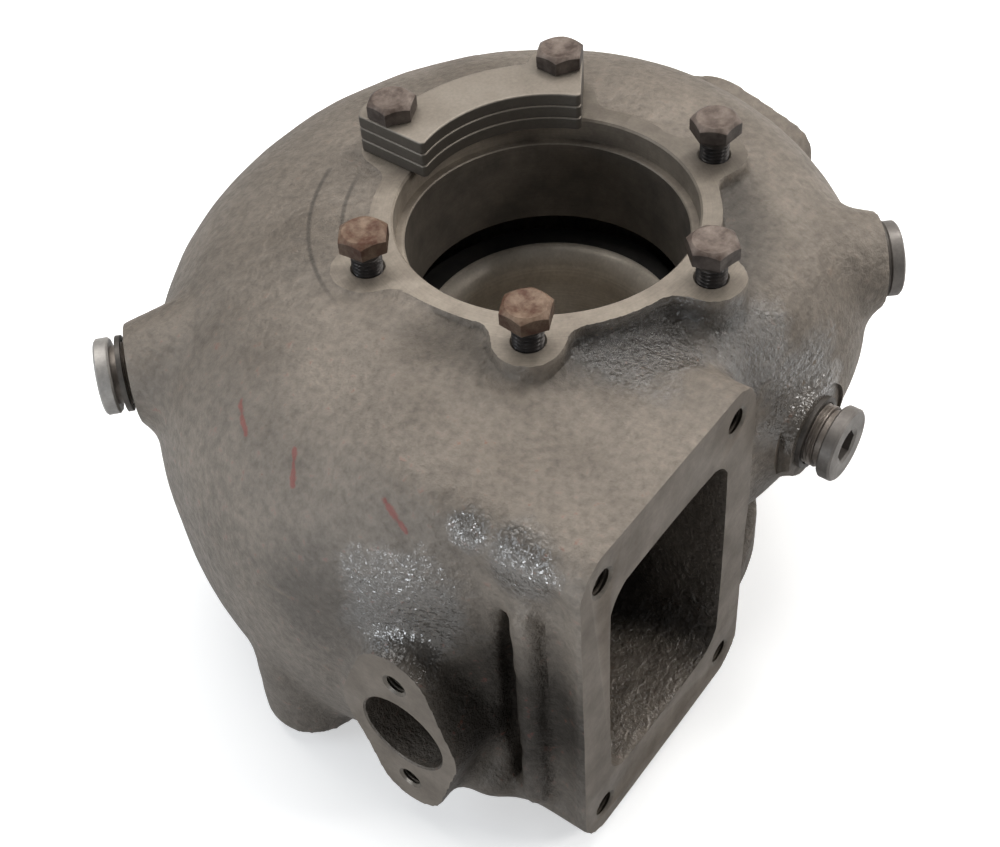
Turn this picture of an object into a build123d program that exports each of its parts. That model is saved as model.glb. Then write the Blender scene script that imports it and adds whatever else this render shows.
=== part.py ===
from build123d import *
import os
from math import cos, radians, sin, tan

# A water-cooled turbine housing for a turbocharger, cast in iron. It stands on its exhaust
# outlet, with the bore for the bearing housing on top. The origin is on the bore's axis, in
# the machined ring face. The gas inlet faces -Y and the coolant inlet faces -X.

# Bore and ring for the bearing housing
seat_radius = 60.0
seat_depth = 10.6
bore_radius = 56.4
nozzle_top = 49.0
nozzle_width = 13.2
shroud_radius = 55.3
shroud_depth = 16.0
throat_radius = 44.3
throat_depth = 104.0
ring_radius = 68.5
ring_lobe_radius = 13.7
ring_root = 34.0
ring_fillet = 9.0

# Facing cuts that blend the ring into the casting, and the sunk shoulder in front of it
facing_radius = 80.0
facing_step_radius = 93.0
facing_step = 0.7
shoulder_slope = 0.148
shoulder_azimuth = 85.0

# Hexagon bolts around the ring
bolt_circle = 149.0
bolt_count = 6
first_bolt_azimuth = 90.0
bolt_diameter = 12.0
bolt_length = 30.0
bolt_head_across_flats = 18.0
bolt_head_height = 7.5
bolt_head_crown = 0.87
bolt_head_slope = 30.0
bolt_end_chamfer = 1.0
bolt_lift = 10.6
bolt_turns = [24.0, 26.0, 54.0, 45.0, 24.0, 35.0]
tapped_clearance = 0.08
tapped_depth = 24.0
countersink = 0.7

# Clamp plates under the first two bolts
plate_count = 3
plate_thickness = 5.7
plate_inner_radius = 52.2
plate_outer_radius = 75.0
plate_lobe_radius = 14.0
plate_hole_clearance = 0.6
plate_inset = 0.6
plate_fillet = 2.0
plate_edge = 0.9

# The casting's plan: azimuth, radius at its widest and at its foot, and how square its shoulder is
plan = [
    (5, 158.0, 120.0, 0.0),
    (30, 166.0, 140.0, 0.0),
    (60, 168.0, 155.0, 0.0),
    (90, 168.0, 164.0, 0.0),
    (120, 168.0, 168.0, 0.0),
    (150, 168.0, 168.0, 0.0),
    (177, 166.0, 166.0, 0.0),
    (193, 162.0, 160.0, 0.4),
    (207, 155.0, 150.0, 0.7),
    (220, 141.0, 132.0, 0.75),
    (234, 122.0, 104.0, 0.75),
    (250, 105.0, 82.0, 0.5),
    (275, 112.0, 75.0, 0.0),
    (293, 126.0, 75.0, 0.0),
    (315, 137.0, 80.0, 0.0),
    (340, 147.0, 95.0, 0.0),
]
# Its levels: depth, share of the radius, and how far the plan has gone over to the foot
crown_height = 1.8
levels = [
    (-crown_height, 0.570, 0.00),
    (11.0, 0.765, 0.00),
    (29.0, 0.895, 0.00),
    (52.0, 0.970, 0.00),
    (80.0, 1.000, 0.05),
    (108.0, 1.000, 0.25),
    (132.0, 0.985, 0.60),
    (152.0, 0.950, 0.90),
    (167.0, 0.905, 1.00),
    (176.0, 0.830, 1.00),
]

# Gas inlet
inlet_face = 108.8
inlet_x = -81.0
inlet_z = -95.8
inlet_flange_width = 115.4
inlet_flange_height = 170.0
inlet_flange_corner = 16.0
inlet_neck_length = 60.0
inlet_width = 80.0
inlet_height = 116.0
inlet_corner = 16.0
inlet_bolt_width = 87.6
inlet_bolt_height = 141.0
inlet_bolt_diameter = 12.0
inlet_bolt_depth = 22.0

# Groove, bead and hollow beside the inlet neck
groove_width = 5.0
groove_depth = 14.0
groove_height = 102.0
groove_y = -77.4
groove_z = -104.0
bead_radius = 6.0
bead_height = 122.0
bead_x = -136.5
bead_y = -86.0
hollow_radius = 9.0
hollow_depth = 3.0
hollow_height = 136.0
hollow_y = -96.5

# Scroll passage from the inlet to the tongue: azimuth, width, height and depth of its middle
scroll_inner_radius = 64.0
scroll = [
    (180, 74.0, 104.0, 86.0),
    (135, 66.0, 90.0, 79.0),
    (90, 56.0, 76.0, 73.0),
    (45, 46.0, 62.0, 67.0),
    (0, 36.0, 48.0, 62.0),
    (-45, 26.0, 34.0, 58.0),
]
scroll_corner_share = 0.3
scroll_wall = 9.0
nozzle_reach = 8.0

# Exhaust outlet, which the housing stands on
stand_height = 186.0
outlet_radius = 53.0
outlet_pipe_radius = 66.0
outlet_flange_radius = 92.0
outlet_flange_thickness = 16.0
outlet_bolt_circle = 158.0
outlet_bolt_count = 8
outlet_bolt_diameter = 10.0
outlet_bolt_depth = 13.0

# Coolant flanges with two bolts each
coolant_bore_radius = 18.5
coolant_bolt_spacing = 63.0
coolant_bolt_diameter = 10.0
coolant_bolt_depth = 18.0
coolant_flange_radius = 26.0
coolant_ear_radius = 16.0
coolant_neck = 34.0
coolant_bore_depth = 22.0
coolant_in_face = 164.4
coolant_in_y = -43.7
coolant_in_z = -121.5
coolant_out_face = 160.0
coolant_out_y = 11.5
coolant_out_z = -63.0

# Screw plugs with sealing rings: azimuth, distance of the boss face, place across and height
plug_bosses = {
    "left": (137.0, 171.0, 0.0, -48.0),
    "right": (-49.0, 135.0, 0.0, -43.0),
    "front": (-90.0, 114.0, 19.0, -77.0),
}
plug_lifts = {"left": 5.0, "right": 0.0, "front": 7.0}
ring_lifts = {"left": 2.4, "right": 0.0, "front": 0.0}
plug_diameter = 26.0
plug_collar_diameter = 31.0
plug_collar_thickness = 6.0
plug_collar_edge = 0.8
plug_hex = 12.0
plug_hex_depth = 7.0
plug_length = 18.0
plug_undercut = 3.0
plug_undercut_diameter = 23.6
plug_clearance = 0.1
plug_boss_radius = 20.0
plug_boss_length = 40.0
plug_boss_flare = 16.0
sealing_ring_thickness = 2.0
sealing_ring_clearance = 0.4

# Drain boss that points down beside the coolant inlet
drain_boss_radius = 22.4
drain_boss_x = -141.6
drain_boss_y = 27.6
drain_boss_foot = 180.0
drain_boss_length = 100.0
drain_bore_radius = 12.0
drain_bore_depth = 34.0
drain_groove = 1.5
drain_groove_height = 5.0

bolt_radius = bolt_diameter / 2
ring_bolts = [first_bolt_azimuth - 360 / bolt_count * index for index in range(bolt_count)]
plate_azimuth = (ring_bolts[0] + ring_bolts[1]) / 2
stack_height = plate_count * plate_thickness
inlet_plane = Plane(origin=(inlet_x, -inlet_face, inlet_z), x_dir=(1, 0, 0), z_dir=(0, -1, 0))
coolant_in_plane = Plane(
    origin=(-coolant_in_face, coolant_in_y, coolant_in_z), x_dir=(0, 0, 1), z_dir=(-1, 0, 0)
)
coolant_out_plane = Plane(
    origin=(coolant_out_face, coolant_out_y, coolant_out_z), x_dir=(0, -1, 0), z_dir=(1, 0, 0)
)
os.makedirs("parts", exist_ok=True)


def around(radius, azimuth, height=0.0):
    """The point at a radius and an azimuth in degrees."""
    return (radius * cos(radians(azimuth)), radius * sin(radians(azimuth)), height)


def finish(builder, name):
    """Labels a finished piece and writes its file."""
    builder.part.label = name
    export_step(builder.part, f"parts/{name}.step")


def boss_plane(name, lift=0.0):
    """The plane of a plug's boss face, looking outward, raised by lift."""
    azimuth, distance, across, height = plug_bosses[name]
    out = Vector(around(1.0, azimuth))
    side = Vector(-out.Y, out.X, 0)
    return Plane(origin=out * (distance + lift) + side * across + Vector(0, 0, height), z_dir=out)


def scroll_sections(grow):
    """The scroll's sections as plane, width and height, from the neck's inner end to the tongue."""
    neck_end = Plane(
        origin=(inlet_x, inlet_neck_length - inlet_face, inlet_z), x_dir=(-1, 0, 0), z_dir=(0, 1, 0)
    )
    sections = [(neck_end, inlet_width + 2 * grow, inlet_height + 2 * grow)]
    for azimuth, width, height, depth in scroll:
        middle = around(scroll_inner_radius + width / 2, azimuth, -depth)
        onward = around(1.0, azimuth - 90)
        plane = Plane(origin=middle, x_dir=around(1.0, azimuth), z_dir=onward)
        sections.append((plane, width + 2 * grow, height + 2 * grow))
    return sections


# The casting: one piece of grey iron with the ring, the scroll, the necks and the bosses
with BuildPart() as turbine_housing:
    # Outer skin, lofted up through its levels
    for depth, share, gone in levels:
        outline = []
        for azimuth, wide, foot, square in plan:
            part_share = share ** (1 - square) if gone == 0 else share
            outline.append(around(part_share * (wide + gone * (foot - wide)), azimuth)[:2])
        with BuildSketch(Plane.XY.offset(-depth)):
            with BuildLine():
                Spline(outline, periodic=True)
            make_face()
    loft()
    # Two facing cuts leave a low step in the crown around the ring
    with BuildSketch(Plane.XY.offset(facing_step)):
        Circle(facing_step_radius)
    extrude(amount=crown_height, mode=Mode.SUBTRACT)
    with BuildSketch(Plane.XY):
        Circle(facing_radius)
        with PolarLocations(bolt_circle / 2, bolt_count, start_angle=first_bolt_azimuth):
            Circle(plate_lobe_radius + plate_hole_clearance)
    extrude(amount=crown_height, mode=Mode.SUBTRACT)
    # Sunk shoulder, so that the ring stands proud towards the gas inlet
    lean = Plane(
        origin=(0, 0, 0), x_dir=around(1.0, shoulder_azimuth), z_dir=around(1.0, shoulder_azimuth - 90)
    )
    reach = max(row[1] for row in plan)
    with BuildSketch(lean):
        with BuildLine():
            Polyline((0, 0), (-reach, -reach * shoulder_slope), (-reach, reach / 4), (0, reach / 4), close=True)
        make_face()
    extrude(amount=reach, both=True, mode=Mode.SUBTRACT)
    # Lobed ring for the bearing housing
    with BuildSketch(Plane.XY.offset(-ring_root)) as ring:
        Circle(ring_radius)
        with PolarLocations(bolt_circle / 2, bolt_count, start_angle=first_bolt_azimuth):
            Circle(ring_lobe_radius)
        fillet(ring.vertices(), ring_fillet)
    extrude(amount=ring_root)
    # Inlet neck with its flange, and the scroll's wall behind it
    with BuildSketch(inlet_plane):
        RectangleRounded(inlet_flange_width, inlet_flange_height, inlet_flange_corner)
    extrude(amount=-inlet_neck_length)
    for plane, width, height in scroll_sections(scroll_wall)[:3]:
        with BuildSketch(plane):
            RectangleRounded(width, height, scroll_corner_share * width)
    loft()
    # Shallow hollow behind the flange, a bead beside it, and the groove between the bead and the body
    neck_side = inlet_x - inlet_flange_width / 2
    with Locations((neck_side + hollow_depth - hollow_radius, hollow_y, inlet_z)):
        Cylinder(hollow_radius, hollow_height, mode=Mode.SUBTRACT)
    with BuildSketch(Plane.XY.offset(groove_z - bead_height / 2)):
        with Locations((bead_x, bead_y)):
            Circle(bead_radius)
    extrude(amount=bead_height)
    with Locations((bead_x, groove_y, groove_z)):
        Box(2 * groove_depth, groove_width, groove_height, mode=Mode.SUBTRACT)
    # Coolant necks
    for plane in (coolant_in_plane, coolant_out_plane):
        with BuildSketch(plane):
            Circle(coolant_flange_radius)
            with GridLocations(coolant_bolt_spacing, 0, 2, 1):
                Circle(coolant_ear_radius)
            make_hull()
        extrude(amount=-coolant_neck)
    # Plug bosses and the drain boss
    for name in plug_bosses:
        with BuildSketch(boss_plane(name)):
            Circle(plug_boss_radius)
        extrude(amount=-plug_boss_length, taper=-plug_boss_flare)
        with BuildSketch(boss_plane(name)):
            Circle(plug_boss_radius)
        extrude(amount=plug_collar_thickness, mode=Mode.SUBTRACT)
    with BuildSketch(Plane.XY.offset(-drain_boss_foot)):
        with Locations((drain_boss_x, drain_boss_y)):
            Circle(drain_boss_radius)
    extrude(amount=drain_boss_length)
    # Outlet pipe and flange
    with BuildSketch(Plane.XY.offset(-stand_height)):
        Circle(outlet_flange_radius)
    extrude(amount=outlet_flange_thickness)
    with BuildSketch(Plane.XY.offset(-stand_height)):
        Circle(outlet_pipe_radius)
    extrude(amount=stand_height - throat_depth)
    # Scroll passage: straight through the neck, then round to the tongue
    with BuildSketch(inlet_plane):
        RectangleRounded(inlet_width, inlet_height, inlet_corner)
    extrude(amount=-inlet_neck_length, mode=Mode.SUBTRACT)
    for index, (plane, width, height) in enumerate(scroll_sections(0.0)):
        with BuildSketch(plane):
            RectangleRounded(width, height, scroll_corner_share * width if index else inlet_corner)
    loft(mode=Mode.SUBTRACT)
    # Bearing seat, wheel chamber, nozzle gap, shroud and outlet in one turned profile
    with BuildSketch(Plane.XZ):
        with BuildLine():
            Polyline(
                (0, 0),
                (seat_radius, 0),
                (seat_radius, -seat_depth),
                (bore_radius, -seat_depth),
                (bore_radius, -nozzle_top),
                (scroll_inner_radius + nozzle_reach, -nozzle_top),
                (scroll_inner_radius + nozzle_reach, -nozzle_top - nozzle_width),
                (shroud_radius, -nozzle_top - nozzle_width),
            )
            Spline(
                (shroud_radius, -nozzle_top - nozzle_width),
                (throat_radius, -nozzle_top - nozzle_width - shroud_depth),
                tangents=((-1, 0), (0, -1)),
            )
            Polyline(
                (throat_radius, -nozzle_top - nozzle_width - shroud_depth),
                (throat_radius, -throat_depth),
                (outlet_radius, -stand_height),
                (0, -stand_height),
                (0, 0),
            )
        make_face()
    revolve(axis=Axis.Z, mode=Mode.SUBTRACT)
    # Tapped holes of the ring, the inlet flange and the outlet flange
    with Locations(Plane.XY):
        with PolarLocations(bolt_circle / 2, bolt_count, start_angle=first_bolt_azimuth):
            CounterSinkHole(bolt_radius + tapped_clearance, bolt_radius + countersink, tapped_depth, 90)
    with Locations(inlet_plane):
        with GridLocations(inlet_bolt_width, inlet_bolt_height, 2, 2):
            Hole(inlet_bolt_diameter / 2, inlet_bolt_depth)
    with Locations(Plane(origin=(0, 0, -stand_height), z_dir=(0, 0, -1))):
        with PolarLocations(outlet_bolt_circle / 2, outlet_bolt_count):
            Hole(outlet_bolt_diameter / 2, outlet_bolt_depth)
    # Coolant bores and their tapped holes
    for plane in (coolant_in_plane, coolant_out_plane):
        with Locations(plane):
            Hole(coolant_bore_radius, coolant_bore_depth)
            with GridLocations(coolant_bolt_spacing, 0, 2, 1):
                Hole(coolant_bolt_diameter / 2, coolant_bolt_depth)
    # Plug holes, and the drain boss's bore and groove
    for name in plug_bosses:
        with Locations(boss_plane(name)):
            Hole(plug_diameter / 2 + plug_clearance, plug_length + 6)
    with Locations(Plane(origin=(drain_boss_x, drain_boss_y, -drain_boss_foot), z_dir=(0, 0, -1))):
        Hole(drain_bore_radius, drain_bore_depth)
    with BuildSketch(Plane.XY.offset(drain_groove_height - drain_boss_foot)):
        with Locations((drain_boss_x, drain_boss_y)):
            Circle(drain_boss_radius)
            Circle(drain_boss_radius - drain_groove, mode=Mode.SUBTRACT)
    extrude(amount=drain_groove, mode=Mode.SUBTRACT)
finish(turbine_housing, "turbine_housing")

# Clamp plates: three alike, stacked on the ring
for index, name in enumerate(("lower", "middle", "upper")):
    base = Plane.XY.offset(index * plate_thickness).rotated((0, 0, plate_azimuth))
    half = 180 / bolt_count
    tail = (plate_lobe_radius - plate_inset) / sin(radians(half))
    with BuildPart() as clamp_plate:
        with BuildSketch(base) as plate:
            Circle(plate_outer_radius)
            with Locations(around(bolt_circle / 2, half)[:2], around(bolt_circle / 2, -half)[:2]):
                Circle(plate_lobe_radius)
            with BuildLine():
                tip = around(2 * bolt_circle, half)
                Polyline((-tail, 0), (tip[0], -tip[1]), (tip[0], tip[1]), close=True)
            make_face(mode=Mode.INTERSECT)
            Circle(plate_inner_radius, mode=Mode.SUBTRACT)
            fillet(plate.vertices(), plate_fillet)
            with Locations(around(bolt_circle / 2, half)[:2], around(bolt_circle / 2, -half)[:2]):
                Circle(bolt_radius + plate_hole_clearance, mode=Mode.SUBTRACT)
        extrude(amount=plate_thickness)
        fillet(clamp_plate.faces().filter_by(Axis.Z).edges(), plate_edge)
    finish(clamp_plate, f"clamp_plate_{name}")

# Hexagon bolts: the first two hold the plates, the others are screwed in part way
for index, azimuth in enumerate(ring_bolts):
    lift = stack_height if index < 2 else bolt_lift
    seat = Plane(origin=around(bolt_circle / 2, azimuth, lift)).rotated((0, 0, bolt_turns[index]))
    with BuildPart() as clamp_bolt:
        with BuildSketch(seat):
            RegularPolygon(bolt_head_across_flats / 2, 6, major_radius=False)
        extrude(amount=bolt_head_height)
        crown = bolt_head_crown * bolt_head_across_flats / 2
        with Locations(seat):
            Cone(
                crown + bolt_head_height / tan(radians(bolt_head_slope)),
                crown,
                bolt_head_height,
                align=(Align.CENTER, Align.CENTER, Align.MIN),
                mode=Mode.INTERSECT,
            )
        with BuildSketch(seat):
            Circle(bolt_radius)
        extrude(amount=-bolt_length)
        chamfer(clamp_bolt.edges().group_by(Axis.Z)[0], bolt_end_chamfer)
    finish(clamp_bolt, f"clamp_bolt_{index + 1}")

# Screw plugs with a hexagon socket, and their sealing rings
for name in plug_bosses:
    with BuildPart() as screw_plug:
        face = boss_plane(name, sealing_ring_thickness + plug_lifts[name])
        with BuildSketch(face):
            Circle(plug_collar_diameter / 2)
        extrude(amount=plug_collar_thickness)
        chamfer(screw_plug.edges(), plug_collar_edge)
        with BuildSketch(face):
            Circle(plug_undercut_diameter / 2)
        extrude(amount=-plug_undercut)
        with BuildSketch(face.offset(-plug_undercut)):
            Circle(plug_diameter / 2)
        extrude(amount=plug_undercut - plug_length)
        with BuildSketch(face.offset(plug_collar_thickness)):
            RegularPolygon(plug_hex / 2, 6, major_radius=False)
        extrude(amount=-plug_hex_depth, mode=Mode.SUBTRACT)
    finish(screw_plug, f"screw_plug_{name}")
    with BuildPart() as sealing_ring:
        with BuildSketch(boss_plane(name, ring_lifts[name])):
            Circle(plug_collar_diameter / 2)
            Circle(plug_diameter / 2 + sealing_ring_clearance, mode=Mode.SUBTRACT)
        extrude(amount=sealing_ring_thickness)
    finish(sealing_ring, f"sealing_ring_{name}")
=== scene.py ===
"""A used water-cooled turbine housing: sand-cast grey iron with turned and milled faces.

The casting's skin is the zero level of a distance field, worked out on a grid of points and
turned into a mesh. Holes, bores and faces are then cut into it with turned and swept shapes.
Sizes are in millimetres until a mesh is made, and the frame is the CAD part's own.
"""

import bpy
import numpy as np
from mathutils import Matrix, Vector


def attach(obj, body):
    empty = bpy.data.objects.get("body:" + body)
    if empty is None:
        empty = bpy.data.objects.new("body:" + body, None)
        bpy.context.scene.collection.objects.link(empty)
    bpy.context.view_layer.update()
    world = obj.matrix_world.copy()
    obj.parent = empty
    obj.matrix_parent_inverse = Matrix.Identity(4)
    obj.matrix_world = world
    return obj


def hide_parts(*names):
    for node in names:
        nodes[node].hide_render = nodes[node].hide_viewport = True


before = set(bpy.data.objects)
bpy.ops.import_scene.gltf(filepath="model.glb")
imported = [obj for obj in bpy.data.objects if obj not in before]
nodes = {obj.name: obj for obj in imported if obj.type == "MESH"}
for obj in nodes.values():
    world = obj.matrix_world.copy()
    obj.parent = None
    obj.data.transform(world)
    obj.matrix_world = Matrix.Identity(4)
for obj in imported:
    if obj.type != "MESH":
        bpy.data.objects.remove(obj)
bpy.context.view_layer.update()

# Bearing bore, nozzle ring, shroud and outlet: radii, and depths below the clamp ring's face
SEAT_RADIUS, SEAT_DEPTH, BORE_RADIUS = 60.0, 10.6, 56.4
NOZZLE_TOP, NOZZLE_WIDTH, NOZZLE_RADIUS = 49.0, 13.2, 72.0
SHROUD_RADIUS, SHROUD_DEPTH, THROAT_RADIUS, THROAT_DEPTH = 55.3, 16.0, 44.3, 104.0
OUTLET_RADIUS, STAND_HEIGHT = 53.0, 186.0

# Clamp ring with its six lobes, the faced step round it, and the crown that slopes away in front
RING_RADIUS, RING_LOBE, RING_ROOT, RING_FILLET = 68.5, 13.7, 34.0, 9.0
FACING_RADIUS, FACING_STEP_RADIUS, FACING_STEP, SPOT_MARGIN = 80.0, 93.0, 0.7, 1.5
SHOULDER_SLOPE, SHOULDER_AZIMUTH, CROWN_HEIGHT, CROWN_RISE = 0.148, 85.0, 1.8, 0.3

# Ring bolts: their circle, how far the loose ones stand out, and the turn of each head in degrees
BOLT_CIRCLE_RADIUS, BOLT_LIFT, STACK_HEIGHT = 74.5, 10.6, 17.1
BOLT_AZIMUTHS = (90.0, 30.0, -30.0, -90.0, -150.0, -210.0)
BOLT_TURNS = (24.0, 26.0, 54.0, 45.0, 24.0, 35.0)

# The body's plan: azimuth, radius where it is widest, radius at its foot, and how square its shoulder is
PLAN = np.array([
    (5, 158, 120, 0), (30, 166, 140, 0), (60, 168, 155, 0), (90, 168, 164, 0), (120, 168, 168, 0),
    (150, 168, 168, 0), (177, 166, 166, 0), (193, 162, 160, 0.4), (207, 155, 150, 0.7),
    (220, 141, 132, 0.75), (234, 122, 104, 0.75), (250, 105, 82, 0.5), (275, 112, 75, 0),
    (293, 126, 75, 0), (315, 137, 80, 0), (340, 147, 95, 0),
], float)
# The body's levels: depth, share of the widest radius, and how far the outline has become the foot's
LEVELS = np.array([
    (-1.8, 0.570, 0.00), (11, 0.765, 0.00), (29, 0.895, 0.00), (52, 0.970, 0.00), (80, 1.000, 0.05),
    (108, 1.000, 0.25), (132, 0.985, 0.60), (152, 0.950, 0.90), (167, 0.905, 1.00), (176, 0.830, 1.00),
], float)
SQUARE_DEPTH, SQUARE_BAND = 80.0, 28.0

# Gas inlet: the middle of its face, its flange and opening as width by height, and its bolt pattern
INLET = np.array((-81.0, -108.8, -95.8))
INLET_FLANGE, INLET_CORNER = (115.4, 170.0), 16.0
INLET_OPENING, INLET_BOLTS = (80.0, 116.0), (87.6, 141.0)
NECK_LENGTH = 60.0
# The scroll passage's inner radius, and its azimuth, width, height and depth from inlet to tongue
SCROLL_RADIUS, SCROLL_CORNER = 64.0, 0.3
SCROLL = (
    (180, 74, 104, 86), (135, 66, 90, 79), (90, 56, 76, 73), (45, 46, 62, 67), (0, 36, 48, 62),
    (-45, 26, 34, 58),
)

# Coolant flanges: the middles of their faces, and what both share
COOLANT_IN = np.array((-164.4, -43.7, -121.5))
COOLANT_OUT = np.array((160.0, 11.5, -63.0))
COOLANT_BORE, COOLANT_DEPTH, COOLANT_SPACING = 18.5, 22.0, 63.0
COOLANT_FLANGE, COOLANT_EAR, COOLANT_NECK = 26.0, 16.0, 34.0

# Plug bosses: azimuth of each, its face's distance from the axis, its shift aside, and its height
PLUG_BOSSES = {"left": (137, 171, 0, -48), "right": (-49, 135, 0, -43), "front": (-90, 114, 19, -77)}
PLUG_LIFTS = {"left": 5.0, "right": 0.0, "front": 7.0}
PLUG_BOSS_RADIUS, PLUG_BOSS_LENGTH, PLUG_FLARE, SEALING_RING = 20.0, 40.0, 16.0, 2.0

# Drain boss that points down, outlet pipe and outlet flange
DRAIN, DRAIN_RADIUS, DRAIN_BORE, DRAIN_LENGTH = np.array((-141.6, 27.6, -180.0)), 22.4, 12.0, 100.0
OUTLET_PIPE, OUTLET_FLANGE, OUTLET_THICKNESS, OUTLET_BOLT_RADIUS = 66.0, 92.0, 16.0, 79.0

# Beside the inlet neck: a cast groove, a rough bead, a long hollow and two small feet
GROOVE, GROOVE_DEPTH, GROOVE_WIDTH, GROOVE_REACH = np.array((-137.5, -75.6, -104.0)), 17.0, 9.0, 55.0
BEAD, BEAD_RADIUS, BEAD_REACH = np.array((-138.0, -86.0, -104.0)), 6.0, 55.0
HOLLOW, HOLLOW_RADIUS, HOLLOW_REACH, HOLLOW_TAPER = np.array((-144.2, -96.5, -95.8)), 9.5, 60.0, 0.7
FEET = (((-132, -60, -163), (18, 22, 14)), ((-141, -48, -160), (13, 13, 12)))

# Fillets where each form runs into the body
CROWN_FILLET, NECK_FILLET, OUTLET_FILLET, FOOT_FILLET, HOLLOW_FILLET = 8.0, 14.0, 8.0, 9.0, 4.0
BEAD_FILLET, COOLANT_IN_FILLET, COOLANT_OUT_FILLET = 2.5, 8.0, 12.0
PLUG_FILLET, DRAIN_FILLET, RING_JOINT = 13.0, 8.0, 1.5

# Unevenness of the sand-cast skin: height, size and seed of its waves, and how far it lies inside
SKIN_WAVES, SKIN_INSET = ((0.28, 21.0, 3), (0.16, 8.0, 4)), 0.25
# Stock that is cut away again on the flange faces, and the grid that the casting is worked out on
STOCK, OUTLET_STOCK = 2.0, 3.0
STEP, GRID_LOW, GRID_HIGH = 2.5, np.array((-177.0, -121.0, -192.0)), np.array((172.0, 174.0, 8.0))

# Holes: radius, depth and, for the tapped ones, thread pitch
RING_HOLE, OUTLET_HOLE, PLUG_HOLE = (6.08, 24.0), (5.0, 13.0), (13.1, 24.0)
INLET_HOLE, INLET_PITCH, COOLANT_HOLE, COOLANT_PITCH = (6.0, 22.0), 1.75, (5.0, 18.0), 1.5
DRAIN_HOLE = (DRAIN_BORE, 34.0)


# Meshes

def new_object(name, vertices, faces, scale=0.001):
    """An object from points in millimetres and faces as rows of corner numbers, -1 for none."""
    faces = np.asarray(faces)
    used = faces >= 0
    counts = used.sum(1)
    mesh = bpy.data.meshes.new(name)
    mesh.vertices.add(len(vertices))
    mesh.vertices.foreach_set("co", (np.asarray(vertices, float) * scale).astype(np.float32).ravel())
    mesh.loops.add(int(counts.sum()))
    mesh.loops.foreach_set("vertex_index", faces[used].astype(np.int32))
    mesh.polygons.add(len(faces))
    mesh.polygons.foreach_set("loop_start", (np.cumsum(counts) - counts).astype(np.int32))
    mesh.update(calc_edges=True)
    mesh.validate()
    made = bpy.data.objects.new(name, mesh)
    bpy.context.scene.collection.objects.link(made)
    return made


def face_places(mesh):
    """The middles, in millimetres, and the normals of a mesh's faces."""
    count = len(mesh.polygons)
    centre, normal = np.empty(count * 3, np.float32), np.empty(count * 3, np.float32)
    mesh.polygons.foreach_get("center", centre)
    mesh.polygons.foreach_get("normal", normal)
    return centre.reshape(-1, 3).T * 1000, normal.reshape(-1, 3).T


def skin(first, rings, last):
    """Points and faces of a closed skin.

    Its rings have equally many points, and quads join each to the next. A fan of triangles joins
    the first ring to the first pole and the last ring to the last pole.
    """
    count = len(rings[0])
    points = np.concatenate([[first], *rings, [last]])
    here = np.arange(count)
    onward = (here + 1) % count
    none = np.full(count, -1)
    faces = [np.stack((0 * here, 1 + onward, 1 + here, none), 1)]
    for index in range(len(rings) - 1):
        low, high = 1 + index * count, 1 + (index + 1) * count
        faces.append(np.stack((low + here, low + onward, high + onward, high + here), 1))
    end = 1 + (len(rings) - 1) * count
    faces.append(np.stack((end + here, end + onward, 0 * here + len(points) - 1, none), 1))
    return points, np.concatenate(faces)


def wrap(rows, segments, place=None):
    """A skin round the Z axis, from its lowest row to its highest.

    Each row is a radius and a height, as one number or one for each of the equal angles. A point
    lies at radius times cosine, radius times sine, height. The first and last rows are on the axis.
    """
    angle = np.arange(segments) * 2 * np.pi / segments
    rings = []
    for radius, height in rows[1:-1]:
        radius, height = np.broadcast_to(radius, angle.shape), np.broadcast_to(height, angle.shape)
        rings.append(np.stack((radius * np.cos(angle), radius * np.sin(angle), height), 1))
    points, faces = skin((0, 0, rows[0][1]), rings, (0, 0, rows[-1][1]))
    if place is not None:
        points = points @ np.array(place)[:3, :3].T + np.array(place)[:3, 3]
    return points, faces


def placing(origin, out, side=None):
    """A placing whose Z axis points out. X is near side, or else near Z, or near X if out is upright."""
    z = np.array(out, float) / np.linalg.norm(out)
    if side is None:
        side = (1, 0, 0) if abs(z[2]) > 0.9 else (0, 0, 1)
    x = np.array(side, float) - np.dot(side, z) * z
    x /= np.linalg.norm(x)
    made = np.eye(4)
    made[:3, 0], made[:3, 1], made[:3, 2], made[:3, 3] = x, np.cross(z, x), z, origin
    return made


def polar(radius, azimuth, height=0.0):
    """The point at a radius and an azimuth in degrees."""
    turn = np.radians(azimuth)
    return np.array((radius * np.cos(turn), radius * np.sin(turn), height))


# Distance fields, which are below zero inside a form

def through(knots, values, at, period=None):
    """A cubic curve through the knots, whose slope at each knot comes from its two neighbours."""
    if period:
        knots = np.concatenate((knots[-2:] - period, knots, knots[:2] + period))
        values = np.concatenate((values[-2:], values, values[:2]))
        at = (at - knots[2]) % period + knots[2]
    slope = np.gradient(values, knots)
    cell = np.clip(np.searchsorted(knots, at) - 1, 0, len(knots) - 2)
    width = knots[cell + 1] - knots[cell]
    t = (at - knots[cell]) / width
    a, b = values[cell], values[cell + 1]
    p, q = slope[cell] * width, slope[cell + 1] * width
    return a + t * (p + t * (3 * (b - a) - 2 * p - q + t * (2 * (a - b) + p + q)))


def either(a, b, r):
    """Two solids as one, with a round fillet of a radius in the corner between them."""
    return np.maximum(r, np.minimum(a, b)) - np.hypot(np.maximum(r - a, 0), np.maximum(r - b, 0))


def common(a, b, r):
    """What two solids share, with its edges rounded to a radius."""
    return np.minimum(-r, np.maximum(a, b)) + np.hypot(np.maximum(r + a, 0), np.maximum(r + b, 0))


def join(a, b, radius):
    """Two solids as one, with a fillet that fades where their skins run the same way."""
    alike = sum(p * q for p, q in zip(np.gradient(a, STEP), np.gradient(b, STEP)))
    return either(a, b, radius * np.clip(1 - alike, 0.02, 1))


def slab(along, low, high):
    """Distance to the space between two planes."""
    return np.abs(along - (low + high) / 2) - (high - low) / 2


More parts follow.
